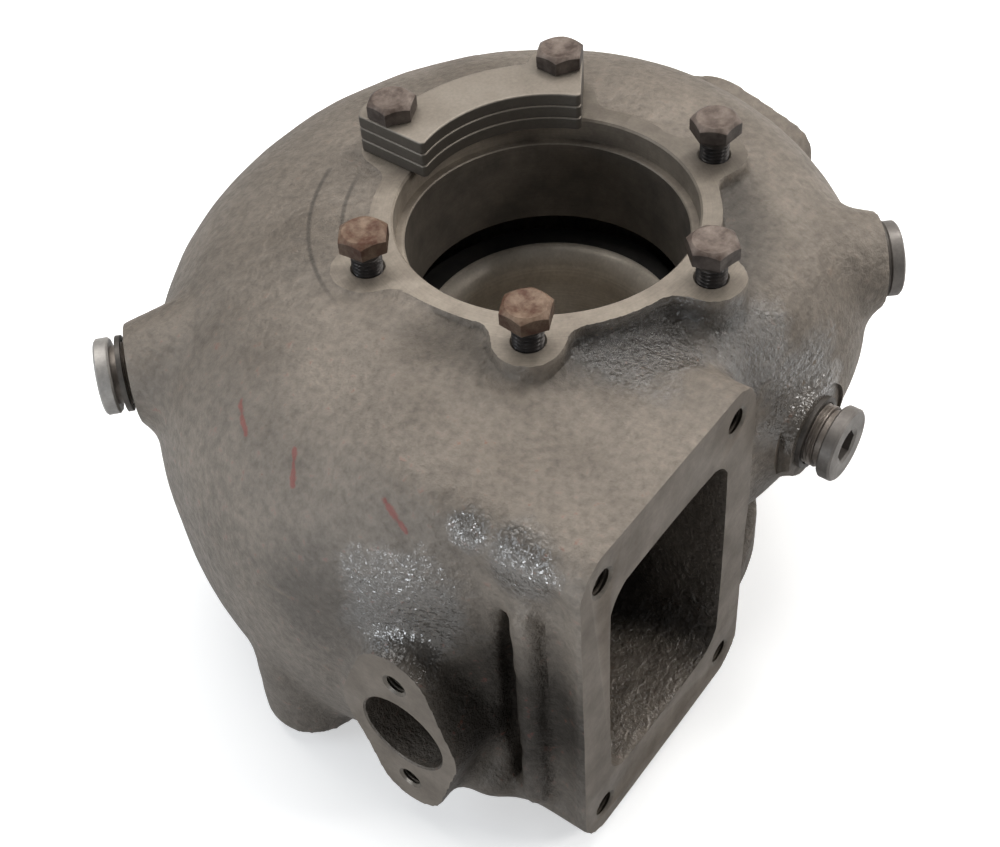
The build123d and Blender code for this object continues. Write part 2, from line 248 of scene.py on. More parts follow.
def rounded_box(u, v, width, height, corner):
    """Distance to a rectangle with round corners."""
    u, v = np.abs(u) - width / 2 + corner, np.abs(v) - height / 2 + corner
    return np.hypot(np.maximum(u, 0), np.maximum(v, 0)) + np.minimum(np.maximum(u, v), 0) - corner


def upright_rod(x, y, z, middle, radius, reach, taper=1.0):
    """Distance to an upright rod that reaches up and down from its middle. A taper draws its ends out."""
    aside = np.hypot(x - middle[0], y - middle[1])
    return np.hypot(aside, np.maximum(np.abs(z - middle[2]) - reach, 0) * taper) - radius


def cast_noise(x, y, z, size, seed):
    """Smooth random waves of a size, from -1 to 1: random numbers on a lattice, eased between."""
    table = np.random.default_rng(seed).uniform(-1, 1, (32, 32, 32))
    cells, shares = [], []
    for axis in (x, y, z):
        at = axis / size + 512
        cells.append(at.astype(int))
        t = at - cells[-1]
        shares.append(t * t * (3 - 2 * t))
    total = 0
    for corner in np.ndindex(2, 2, 2):
        weight = 1
        for share, up in zip(shares, corner):
            weight = weight * (share if up else 1 - share)
        total = total + weight * table[tuple((cell + up) % 32 for cell, up in zip(cells, corner))]
    return total


# The casting's forms

def body_field(x, y, z):
    """Distance to the body: its outline in each plane through the axis, read between planes.

    The outline's radius at a depth is the widest radius times the level's share, and it goes over
    to the foot's radius further down. A square shoulder raises the share towards one.
    """
    turns, pitch, fine = 120, 4.0, 8
    reach, bottom, top = 188, -200, 16
    azimuth = np.arange(turns) * 360 / turns
    wide, foot, square = (through(PLAN[:, 0], PLAN[:, k], azimuth, 360) for k in (1, 2, 3))
    at = np.linspace(0, len(LEVELS) - 1, (len(LEVELS) - 1) * fine + 1)
    depth, share, gone = (through(np.arange(len(LEVELS)), LEVELS[:, k], at) for k in range(3))
    radii = np.arange(0, reach, pitch)
    heights = np.arange(bottom, top, pitch)
    r, h = np.meshgrid(radii, heights, indexing="ij")
    table = np.empty((turns, *r.shape), np.float32)
    for index in range(turns):
        squared = np.clip(square[index], 0, 1) * np.clip((SQUARE_DEPTH - depth) / SQUARE_BAND, 0, 1)
        outline = share ** (1 - squared) * (wide[index] + gone * (foot[index] - wide[index]))
        line = np.stack((np.r_[0, outline, 0], np.r_[-depth[0], -depth, -depth[-1]]), 1)
        start, along = line[:-1], np.diff(line, axis=0)
        off = np.stack((r, h), -1)[..., None, :] - start
        t = np.clip((off * along).sum(-1) / (along * along).sum(-1), 0, 1)
        near = np.sqrt(((off - t[..., None] * along) ** 2).sum(-1).min(-1))
        inside = r < np.interp(-h, depth, outline, left=-1, right=-1)
        table[index] = np.where(inside, -near, near)
    turn = np.degrees(np.arctan2(y, x)) % 360 * turns / 360
    a = turn.astype(int) % turns
    fa = turn - np.floor(turn)
    rr = np.clip(np.hypot(x, y) / pitch, 0, len(radii) - 1.001)
    hh = np.clip((z - heights[0]) / pitch, 0, len(heights) - 1.001)
    b, c = rr.astype(int), hh.astype(int)
    fb, fc = rr - b, hh - c
    total = 0
    for da, db, dc in np.ndindex(2, 2, 2):
        weight = (fa if da else 1 - fa) * (fb if db else 1 - fb) * (fc if dc else 1 - fc)
        total = total + weight * table[(a + da) % turns, b + db, c + dc]
    return total


def inlet_neck(x, y, z):
    """The flange's rounded rectangle, carried back from the inlet's face."""
    outline = rounded_box(x - INLET[0], z - INLET[2], *INLET_FLANGE, INLET_CORNER)
    return common(outline, slab(y - INLET[1], -STOCK, NECK_LENGTH), 0.5)


def outlet_pipe(radius, z):
    """The outlet pipe and the flange that the housing stands on, round the axis."""
    flange = np.maximum(radius - OUTLET_FLANGE, z + STAND_HEIGHT - OUTLET_THICKNESS)
    pipe = np.maximum(radius - OUTLET_PIPE, z + THROAT_DEPTH)
    return np.maximum(np.minimum(flange, pipe), -z - STAND_HEIGHT - OUTLET_STOCK)


def foot(x, y, z, middle, half):
    """An egg shape: the distance as a share of each half-size, less one, times the least half-size."""
    share = np.sqrt(sum(((axis - place) / size) ** 2 for axis, place, size in zip((x, y, z), middle, half)))
    return (share - 1) * min(half)


def neck_groove(x, y, z):
    """An upright slot with ragged walls, which narrows up and down from its middle like a lens."""
    lens = np.clip(1 - ((z - GROOVE[2]) / (GROOVE_REACH + 3)) ** 2, 0.02, 1) ** 0.7
    width = GROOVE_WIDTH * lens + 1.2 * cast_noise(x, y, z, size=9.0, seed=6)
    groove = rounded_box(x - GROOVE[0], y - GROOVE[1], GROOVE_DEPTH, width, 2.0)
    return common(groove, slab(z - GROOVE[2], -GROOVE_REACH, GROOVE_REACH), 5.0)


def eared(u, v):
    """Distance to the hull of a round flange and its two ears, which lie along v."""
    lean = (COOLANT_FLANGE - COOLANT_EAR) / (COOLANT_SPACING / 2)
    rise = np.sqrt(1 - lean * lean)
    u, v = np.abs(u), np.abs(v)
    along = rise * v - lean * u
    side = rise * u + lean * v - COOLANT_FLANGE
    ear = np.hypot(u, v - COOLANT_SPACING / 2) - COOLANT_EAR
    middle = np.hypot(u, v) - COOLANT_FLANGE
    return np.where(along < 0, middle, np.where(along > rise * COOLANT_SPACING / 2, ear, side))


def coolant_neck(x, y, z, place, face):
    """A coolant flange and its neck, which face along X: upright ears at the inlet, level at the outlet."""
    u, v = (y - place[1], z - place[2]) if face < 0 else (z - place[2], y - place[1])
    return common(eared(u, v), slab((x - place[0]) * face, -COOLANT_NECK, STOCK), 1.0)


def plug_boss(x, y, z, azimuth, distance, across, height):
    """A round boss that flares towards the body."""
    out = polar(1, azimuth)
    ahead = x * out[0] + y * out[1] - distance
    aside = np.hypot(y * out[0] - x * out[1] - across, z - height)
    flare = np.radians(PLUG_FLARE)
    cone = (aside - PLUG_BOSS_RADIUS + ahead * np.tan(flare)) * np.cos(flare)
    return common(cone, slab(ahead, -PLUG_BOSS_LENGTH, STOCK), 1.0)


def drain_boss(x, y, z):
    """A round boss that points down."""
    side = np.hypot(x - DRAIN[0], y - DRAIN[1]) - DRAIN_RADIUS
    return common(side, slab(z - DRAIN[2], 0, DRAIN_LENGTH), 2.0)


def clamp_ring(x, y, z):
    """The ring round the bearing bore, with a round lobe at each bolt."""
    radius = np.hypot(x, y)
    lobes = np.full_like(radius, 1e3)
    for azimuth in BOLT_AZIMUTHS:
        middle = polar(BOLT_CIRCLE_RADIUS, azimuth)
        lobes = np.minimum(lobes, np.hypot(x - middle[0], y - middle[1]) - RING_LOBE)
    return np.maximum(either(radius - RING_RADIUS, lobes, RING_FILLET), slab(z, -RING_ROOT, STOCK))


def casting_field(x, y, z):
    """Distance to the casting without its holes, with stock on the faces that are cut later."""
    azimuth = np.radians(SHOULDER_AZIMUTH)
    behind = x * np.cos(azimuth) + y * np.sin(azimuth)
    top = np.where(behind < 0, SHOULDER_SLOPE * behind, np.minimum(CROWN_HEIGHT, CROWN_RISE * behind))
    field = common(body_field(x, y, z), (z - top) / np.hypot(1, SHOULDER_SLOPE), CROWN_FILLET)
    field = join(field, inlet_neck(x, y, z), NECK_FILLET)
    field = join(field, outlet_pipe(np.hypot(x, y), z), OUTLET_FILLET)
    for middle, half in FEET:
        field = join(field, foot(x, y, z, middle, half), FOOT_FILLET)
    hollow = upright_rod(x, y, z, HOLLOW, HOLLOW_RADIUS, HOLLOW_REACH, HOLLOW_TAPER)
    field = common(field, -hollow, HOLLOW_FILLET)
    bead = upright_rod(x, y, z, BEAD, BEAD_RADIUS, BEAD_REACH)
    field = join(field, bead + 0.7 * cast_noise(x, y, z, size=6.0, seed=8), BEAD_FILLET)
    field = join(field, coolant_neck(x, y, z, COOLANT_IN, -1), COOLANT_IN_FILLET)
    field = join(field, coolant_neck(x, y, z, COOLANT_OUT, 1), COOLANT_OUT_FILLET)
    field = common(field, -neck_groove(x, y, z), HOLLOW_FILLET)
    for boss in PLUG_BOSSES.values():
        field = join(field, plug_boss(x, y, z, *boss), PLUG_FILLET)
    field = join(field, drain_boss(x, y, z), DRAIN_FILLET)
    for height, size, seed in SKIN_WAVES:
        field = field + height * cast_noise(x, y, z, size, seed)
    return join(field + SKIN_INSET, clamp_ring(x, y, z), RING_JOINT)


def level_mesh(field, low, step):
    """The field's zero level as points and quads.

    Each cell that the level crosses gets one point, the middle of the crossings on its edges,
    and each crossed grid edge gets a quad of the four cells round it.
    """
    inside = field < 0
    shape = np.array(field.shape) - 1
    total = np.zeros((*shape, 3), np.float32)
    count = np.zeros(shape, np.float32)
    crossed = []
    for axis in range(3):
        first = tuple(slice(0, -1) if k == axis else slice(None) for k in range(3))
        second = tuple(slice(1, None) if k == axis else slice(None) for k in range(3))
        change = inside[first] != inside[second]
        share = np.where(change, field[first] / np.where(change, field[first] - field[second], 1), 0)
        crossed.append(change)
        others = [k for k in range(3) if k != axis]
        for i, j in np.ndindex(2, 2):
            pick = [slice(None)] * 3
            pick[others[0]] = slice(i, i + shape[others[0]])
            pick[others[1]] = slice(j, j + shape[others[1]])
            hit = change[tuple(pick)]
            count += hit
            total[..., axis] += share[tuple(pick)] * hit
            total[..., others[0]] += i * hit
            total[..., others[1]] += j * hit
    live = count > 0
    number = np.full(shape, -1)
    number[live] = np.arange(live.sum())
    corner = np.stack(np.nonzero(live), 1)
    points = (corner + total[live] / count[live][:, None]) * step + low
    quads = []
    for axis, change in enumerate(crossed):
        others = [(axis + 1) % 3, (axis + 2) % 3]
        where = np.stack(np.nonzero(change), 1)
        ring = []
        for i, j in ((1, 1), (0, 1), (0, 0), (1, 0)):
            cell = where.copy()
            cell[:, others[0]] -= i
            cell[:, others[1]] -= j
            ring.append(number[tuple(cell.T)])
        quad = np.stack(ring, 1)
        entering = ~inside[tuple(where.T)]
        quad[entering] = quad[entering, ::-1]
        quads.append(quad)
    return points, np.concatenate(quads)


# Shapes that cut the casting

def drilled(radius, depth, place, sink=0.7, proud=3.0):
    """A drilled hole with a small countersink and a drill-point bottom. It opens along the placing's Z."""
    profile = [
        (0, -depth - 0.3 * radius), (radius, -depth), (radius, -sink), (radius + sink, 0),
        (radius + sink, proud), (0, proud),
    ]
    return wrap(profile, 48, place)


def tapped(radius, depth, pitch, place, sink=0.9, proud=3.0, threads=6):
    """A tapped hole: its first few threads show as grooves round the wall."""
    crest = radius - 0.54 * pitch
    profile = [(0, -depth - 0.3 * radius), (crest, -depth)]
    for turn in range(threads, 0, -1):
        top = -sink - (turn - 1) * pitch
        for edge, share in ((crest, 0.85), (radius, 0.55), (radius, 0.45), (crest, 0.15)):
            profile.append((edge, top - share * pitch))
    profile += [(crest, -sink), (radius + 0.4, 0), (radius + 0.4, proud), (0, proud)]
    return wrap(profile, 40, place)


def spot_face(bottom, top, height, place):
    """A round cut that leaves a flat face at the placing's origin, from its radius there to its top's."""
    return wrap([(0, 0), (bottom, 0), (top, height), (0, height)], 64, place)


def together(parts):
    """Several shapes that don't touch, as one."""
    points, faces, start = [], [], 0
    for vertices, corners in parts:
        points.append(vertices)
        faces.append(np.where(corners >= 0, corners + start, -1))
        start += len(vertices)
    return np.concatenate(points), np.concatenate(faces)


def block(low, high):
    """A plain block, for trimming a face flat."""
    low, high = np.array(low, float), np.array(high, float)
    corners = np.array(list(np.ndindex(2, 2, 2)))
    faces = np.array([(0, 1, 3, 2), (4, 6, 7, 5), (0, 4, 5, 1), (2, 3, 7, 6), (0, 2, 6, 4), (1, 5, 7, 3)])
    return low + corners * (high - low), faces


def bearing_bore():
    """The stepped bore: facing, seat, nozzle ring, a quarter ellipse for the shroud, throat and outlet."""
    nozzle_floor = NOZZLE_TOP + NOZZLE_WIDTH
    profile = [
        (0, 12), (FACING_STEP_RADIUS + 5, 12), (FACING_STEP_RADIUS, FACING_STEP),
        (FACING_RADIUS + 0.4, FACING_STEP), (FACING_RADIUS, 0), (SEAT_RADIUS + 0.8, 0), (SEAT_RADIUS, -0.8),
        (SEAT_RADIUS, -SEAT_DEPTH), (BORE_RADIUS + 0.5, -SEAT_DEPTH), (BORE_RADIUS, -SEAT_DEPTH - 0.5),
        (BORE_RADIUS, -NOZZLE_TOP), (NOZZLE_RADIUS, -NOZZLE_TOP), (NOZZLE_RADIUS, -nozzle_floor),
    ]
    for turn in np.radians(np.linspace(0, 90, 14)):
        radius = SHROUD_RADIUS - (SHROUD_RADIUS - THROAT_RADIUS) * np.sin(turn)
        profile.append((radius, -nozzle_floor - SHROUD_DEPTH * (1 - np.cos(turn))))
    profile += [
        (THROAT_RADIUS, -THROAT_DEPTH), (OUTLET_RADIUS, -STAND_HEIGHT), (OUTLET_RADIUS, -STAND_HEIGHT - 6),
        (0, -STAND_HEIGHT - 6),
    ]
    return wrap(profile[::-1], 192)


def passage(stations=44, sides=64):
    """The scroll passage: a rounded rectangle carried from the inlet round the axis to the tongue.

    A point of a section lies at the middle plus width times a clipped cosine along the outward
    direction and height times a clipped sine along Z, each with the corner's own circle added.
    """
    rows = []
    for forward in (INLET[1] - 4, INLET[1], INLET[1] + NECK_LENGTH / 2, INLET[1] + NECK_LENGTH):
        rows.append((INLET[0], forward, INLET[2], -1, 0, *INLET_OPENING, INLET_CORNER))
    for azimuth, width, height, depth in SCROLL:
        middle, out = polar(SCROLL_RADIUS + width / 2, azimuth, -depth), polar(1, azimuth)
        rows.append((*middle, out[0], out[1], width, height, SCROLL_CORNER * width))
    rows = np.array(rows, float)
    knots = np.r_[0, np.cumsum(np.linalg.norm(np.diff(rows[:, :3], axis=0), axis=1))]
    at = np.r_[0, 4, np.linspace(knots[2], knots[-1], stations)]
    rows = np.stack([through(knots, rows[:, k], at) for k in range(rows.shape[1])], 1)
    turn = (np.arange(sides) + 0.5) * 2 * np.pi / sides
    rings = []
    for x, y, z, out_x, out_y, width, height, corner in rows:
        out = np.array((out_x, out_y, 0)) / np.hypot(out_x, out_y)
        u = np.clip(np.cos(turn) * 3, -1, 1) * (width / 2 - corner) + corner * np.cos(turn)
        v = np.clip(np.sin(turn) * 3, -1, 1) * (height / 2 - corner) + corner * np.sin(turn)
        rings.append(np.array((x, y, z)) + u[:, None] * out + v[:, None] * np.array((0, 0, 1)))
    return skin(rings[0].mean(0), rings, rings[-1].mean(0))


def cut(target, shape):
    """Cuts a shape out of an object's mesh."""
    tool = new_object("cutter", *shape)
    change = target.modifiers.new("cut", "BOOLEAN")
    change.operation, change.solver, change.object = "DIFFERENCE", "MANIFOLD", tool
    made = bpy.data.meshes.new_from_object(target.evaluated_get(bpy.context.evaluated_depsgraph_get()))
    target.modifiers.clear()
    old, target.data = target.data, made
    bpy.data.meshes.remove(old)
    bpy.data.objects.remove(tool)


def smooth(target, angle):
    """Shades an object smooth, with edges sharper than an angle in degrees left sharp."""
    target.data.shade_smooth()
    target.data.set_sharp_from_angle(angle=np.radians(angle))


# The casting, with its bores, faces and holes

axes = [np.arange(a, b, STEP, dtype=np.float32) for a, b in zip(GRID_LOW, GRID_HIGH)]
grid = np.meshgrid(*axes, indexing="ij")
casting = new_object("housing_casting", *level_mesh(casting_field(*grid), GRID_LOW, STEP))
ring_places = [placing(polar(BOLT_CIRCLE_RADIUS, azimuth), (0, 0, 1)) for azimuth in BOLT_AZIMUTHS]
plug_places = {}
for name, (azimuth, distance, across, height) in PLUG_BOSSES.items():
    out = polar(1, azimuth)
    aside = np.array((-out[1], out[0], 0)) * across
    plug_places[name] = placing(out * distance + aside + (0, 0, height), out)

cut(casting, bearing_bore())
cut(casting, passage())
lobe_face = RING_LOBE + SPOT_MARGIN
cut(casting, together([spot_face(lobe_face, lobe_face, 14, place) for place in ring_places]))
for low, high in (
    ((-160, INLET[1] - 20, -200), (0, INLET[1], 10)),
    ((COOLANT_IN[0] - 20, COOLANT_IN[1] - 34, -190), (COOLANT_IN[0], COOLANT_IN[1] + 30, -60)),
    ((COOLANT_OUT[0], -110, -180), (COOLANT_OUT[0] + 20, 110, -5)),
    ((-120, -120, -210), (120, 120, -STAND_HEIGHT)),
):
    cut(casting, block(low, high))
boss_face = PLUG_BOSS_RADIUS + 1
cut(casting, together([spot_face(boss_face, boss_face + 2, 12, place) for place in plug_places.values()]))

holes, hole_places = [], []


def add_hole(radius, depth, place, pitch=0.0):
    """Adds a bolt or plug hole, tapped if it has a pitch, and notes where its walls lie."""
    holes.append(tapped(radius, depth, pitch, place) if pitch else drilled(radius, depth, place))
    hole_places.append((place, radius + 0.2, depth + radius))


for place in ring_places:
    add_hole(*RING_HOLE, place)
for i in (-1, 1):
    for j in (-1, 1):
        middle = INLET + np.array((i * INLET_BOLTS[0] / 2, 0, j * INLET_BOLTS[1] / 2))
        add_hole(*INLET_HOLE, placing(middle, (0, -1, 0)), INLET_PITCH)
    add_hole(*COOLANT_HOLE, placing(COOLANT_IN + (0, 0, i * COOLANT_SPACING / 2), (-1, 0, 0)), COOLANT_PITCH)
    add_hole(*COOLANT_HOLE, placing(COOLANT_OUT + (0, i * COOLANT_SPACING / 2, 0), (1, 0, 0)))
for k in range(8):
    add_hole(*OUTLET_HOLE, placing(polar(OUTLET_BOLT_RADIUS, 45 * k, -STAND_HEIGHT), (0, 0, -1)))
for place in plug_places.values():
    add_hole(*PLUG_HOLE, place)
for middle, face in ((COOLANT_IN, -1), (COOLANT_OUT, 1)):
    holes.append(drilled(COOLANT_BORE, COOLANT_DEPTH, placing(middle, (face, 0, 0))))
holes.append(drilled(*DRAIN_HOLE, placing(DRAIN, (0, 0, -1))))
cut(casting, together(holes))
smooth(casting, 35)


# Bolts and plugs

def hexagon(across, segments, turn=0.0):
    """The radius of a hexagon at each of the equal angles: half its width over the cosine to the flat."""
    angle = np.arange(segments) * 2 * np.pi / segments - np.radians(turn)
    return across / 2 / np.cos((angle + np.pi / 6) % (np.pi / 3) - np.pi / 6)


def thread_rows(outer, pitch, top, bottom, segments, steps=8):
    """Rows of a screw thread from the bottom up: flats and flanks that climb one pitch a turn."""
    share = np.arange(segments) / segments
    rows = []
    for height in np.linspace(top, bottom, int((top - bottom) / pitch * steps) + 1)[::-1]:
        wave = np.abs(((height / pitch - share) % 1) * 2 - 1)
        deep = np.clip((wave - 0.12) / 0.7, 0, 1)
        fade = min(1, (top - height) / pitch, (height - bottom) / pitch + 0.3)
        rows.append((outer - 0.61 * pitch * deep * fade, height))
    return rows


def fastener(name, rows, segments, place):
    """A bolt or plug from its rows. Its faces below the head get the second finish."""
    made = new_object(name, *wrap(rows, segments, place))
    smooth(made, 25)
    middle, _ = face_places(made.data)
    height = (middle.T - place[:3, 3]) @ place[:3, 2]
    made.data.polygons.foreach_set("material_index", (height < -0.3).astype(np.int32))
    return made


def clamp_bolt(name, place, segments=96):
    """An M12 hexagon bolt: a chamfered head, a short plain neck and a threaded shank."""
    across, height, radius, length, pitch = 18.0, 7.5, 6.0, 30.0, 1.75
    corner = hexagon(across, segments, 30)
    flat = 0.87 * across / 2
    shoulder = height - (corner - flat) * np.tan(np.radians(30))
    shank = thread_rows(radius, pitch, -3.0, -length + 1.0, segments)
    head = [
        (radius, -2.8), (radius, -0.4), (radius + 0.4, 0.0), (across / 2 - 0.5, 0.0), (corner - 0.35, 0.25),
        (corner, 0.7), (corner, shoulder - 0.3), (corner - 0.25, shoulder), (flat, height),
        (flat - 0.9, height), (flat - 2.0, height - 0.2), (flat - 3.4, height - 0.45), (0, height - 0.55),
    ]
    return fastener(name, [(0, -length), (radius - 1.0, -length), *shank, *head], segments, place)


def screw_plug(name, place, segments=96):
    """An M26 collar plug: hexagon socket, turned collar, undercut and fine thread."""
    collar, thick, length, radius, pitch = 15.5, 6.0, 18.0, 13.0, 1.5
    socket = hexagon(12.0, segments)
    shank = thread_rows(radius, pitch, -3.2, -length + 0.9, segments)
    head = [
        (11.8, -3.0), (11.8, 0.0), (collar - 0.8, 0.0), (collar, 0.8), (collar, thick - 0.8),
        (collar - 0.8, thick), (7.9, thick), (7.3, thick - 0.3), (socket, thick - 0.7),
        (socket, thick - 7.0), (0, thick - 8.0),
    ]
    return fastener(name, [(0, -length), (radius - 1.0, -length), *shank, *head], segments, place)


bolts, plugs = {}, {}
for index, (azimuth, turn) in enumerate(zip(BOLT_AZIMUTHS, np.radians(BOLT_TURNS))):
    # The first two stand on the stacked plates, and the others are part-screwed
    head_height = STACK_HEIGHT if index < 2 else BOLT_LIFT
    middle = polar(BOLT_CIRCLE_RADIUS, azimuth, head_height)
    place = placing(middle, (0, 0, 1), (np.cos(turn), np.sin(turn), 0))
    bolts[f"clamp_bolt_{index + 1}"] = clamp_bolt(f"bolt_{index + 1}", place)
for name, place in plug_places.items():
    lifted = place.copy()
    lifted[:3, 3] += place[:3, 2] * (SEALING_RING + PLUG_LIFTS[name])
    plugs[f"screw_plug_{name}"] = screw_plug(f"plug_{name}", lifted)


# Materials

def linear(code):
    """An sRGB hex colour as linear red, green, blue and alpha."""
    parts = np.array([int(code[k:k + 2], 16) / 255 for k in (0, 2, 4)])
    parts = np.where(parts <= 0.04045, parts / 12.92, ((parts + 0.055) / 1.055) ** 2.4)
    return (*parts, 1.0)


def add(tree, kind, *values, **named):
    """Adds a node with its settings and links, and returns it.

    The values feed its open inputs in order. Of the named ones, those in small letters are the
    node's settings and the others its inputs. A value may be a number, a colour, a socket or a node.
    """
    node = tree.nodes.new("ShaderNode" + kind)
    for key, value in named.items():
        if key.islower():
            setattr(node, key, value)
    feeds = list(zip([place for place in node.inputs if place.enabled], values))
    for key, value in named.items():
        if not key.islower():
            feeds.append((node.inputs[key.replace("_", " ")], value))
    for place, value in feeds:
        if isinstance(value, bpy.types.Node):
            value = next(out for out in value.outputs if out.enabled)
        if isinstance(value, bpy.types.NodeSocket):
            tree.links.new(value, place)
        else:
            place.default_value = value
    return node


def new_material(name):
    """A material without nodes, and its node tree."""
    made = bpy.data.materials.new(name)
    made.use_nodes = True
    made.node_tree.nodes.clear()
    return made, made.node_tree


def millimetres(tree):
    """The place on the object, in millimetres."""
    return add(tree, "VectorMath", add(tree, "TexCoord").outputs["Object"], Scale=1000.0, operation="SCALE")


def axis_distance(tree, at):
    """The distance from the bearing bore's axis."""
    level = add(tree, "VectorMath", at, (1, 1, 0), operation="MULTIPLY")
    return add(tree, "VectorMath", level, operation="LENGTH")


def product(tree, *rows):
    """The product of values that each go from start to end while theirs goes from low to high."""
    total = 1.0
    for value, low, high, start, end in rows:
        share = add(tree, "MapRange", value, low, high, start, end)
        total = add(tree, "Math", total, share, operation="MULTIPLY")
    return total


def near_point(tree, at, point, reach):
    """One at a point, falling to nothing at its reach."""
    gap = add(tree, "VectorMath", at, point, operation="DISTANCE")
    return add(tree, "MapRange", gap, 0, reach, 1, 0)


def near_any(tree, at, spots):
    """The largest of what some points give, each with its reach."""
    largest = 0.0
    for point, reach in spots:
        largest = add(tree, "Math", largest, near_point(tree, at, point, reach), operation="MAXIMUM")
    return largest


def near_stroke(tree, at, start, end, width):
    """One along a straight stroke in the YZ plane, falling to nothing at its edge."""
    start, end = np.array((0, *start), float), np.array((0, *end), float)
    along = end - start
    off = add(tree, "VectorMath", at, tuple(start), operation="SUBTRACT")
    off = add(tree, "VectorMath", off, (0, 1, 1), operation="MULTIPLY")
    part = add(tree, "VectorMath", off, tuple(along / (along @ along)), operation="DOT_PRODUCT")
    part = add(tree, "Math", part, 1.0, operation="MULTIPLY", use_clamp=True)
    nearest = add(tree, "VectorMath", tuple(along), Scale=part, operation="SCALE")
    gap = add(tree, "VectorMath", off, nearest, operation="DISTANCE")
    return add(tree, "MapRange", gap, 0, width, 1, 0)


def tones(tree, value, stops):
    """A colour that runs through stops, each a position and an sRGB hex code, as a value grows."""
    (start, code), *rest = stops
    colour = linear(code)
    for end, code in rest:
        share = add(tree, "MapRange", value, start, end, 0, 1)
        colour = add(tree, "Mix", share, colour, linear(code), data_type="RGBA")
        start = end
    return colour


def shaded(tree, colour, shade):
    """A colour times a share of its tone."""
    return add(tree, "Mix", 1.0, colour, shade, data_type="RGBA", blend_type="MULTIPLY")


# Most of a noise's values lie between these
NOISE = (0.3, 0.7)
# Where the oily film lies and where the casting is lumpy: points and reaches
OILY = (
    ((-153, -44, -58), 36), ((-137, -63, -19), 12), ((-137, -84, -22), 20), ((-34, -64, -9), 38),
    ((-4, -94, -24), 30), ((14, -110, -54), 34), ((-80, -85, -146), 60),
)
LUMPY = (
    ((-36, -66, -9), 44), ((-4, -94, -24), 34), ((-62, 62, 0), 26), ((-78, -8, -4), 22),
    ((-70, -90, -140), 70),
)
# Soot and painted shade in the corner beside the inlet neck, painted shade low on the left flank, painted
# shade deep in the inlet, and painted light on the inlet's floor
CORNER_SOOT_AND_SHADE, LEFT_FLANK_SHADE = ((-140, -80, -104), 68), ((-164, -12, -70), 40)
INLET_SHADE, INLET_FLOOR_LIGHT = ((-85, -25, -95), 66), ((-84, -96, -156), 44)
# Faded paint dashes on the flank, as ends in the YZ plane
STROKES, STROKE_WIDTH = (((45, -19), (36, -24)), ((13, -20), (8, -28)), ((-30, -18), (-41, -25))), 1.7


def tool_ring(tree, radius, side, across, ring):
    """Half at a ring that a facing tool left on the crown's left, and nothing elsewhere."""
    gap = add(tree, "Math", radius, ring, operation="SUBTRACT")
    gap = add(tree, "Math", gap, operation="ABSOLUTE")
    return product(tree, (gap, 0.4, 1.2, 0.5, 0), (across, 30, 50, 0, 1), (side, -30, -20, 1, 0))


def paint_dashes(tree, at, side, pit):
    """The share of the skin that paint covers, which is less where the sand grains stand out."""
    mark = 0.0
    for start, end in STROKES:
        stroke = near_stroke(tree, at, start, end, STROKE_WIDTH)
        mark = add(tree, "Math", mark, stroke, operation="MAXIMUM")
    mark = add(tree, "Math", mark, add(tree, "MapRange", pit, *NOISE, -0.6, 0.25), operation="ADD")
    return product(tree, (mark, 0.1, 0.5, 0, 0.62), (side, -100, -90, 1, 0))


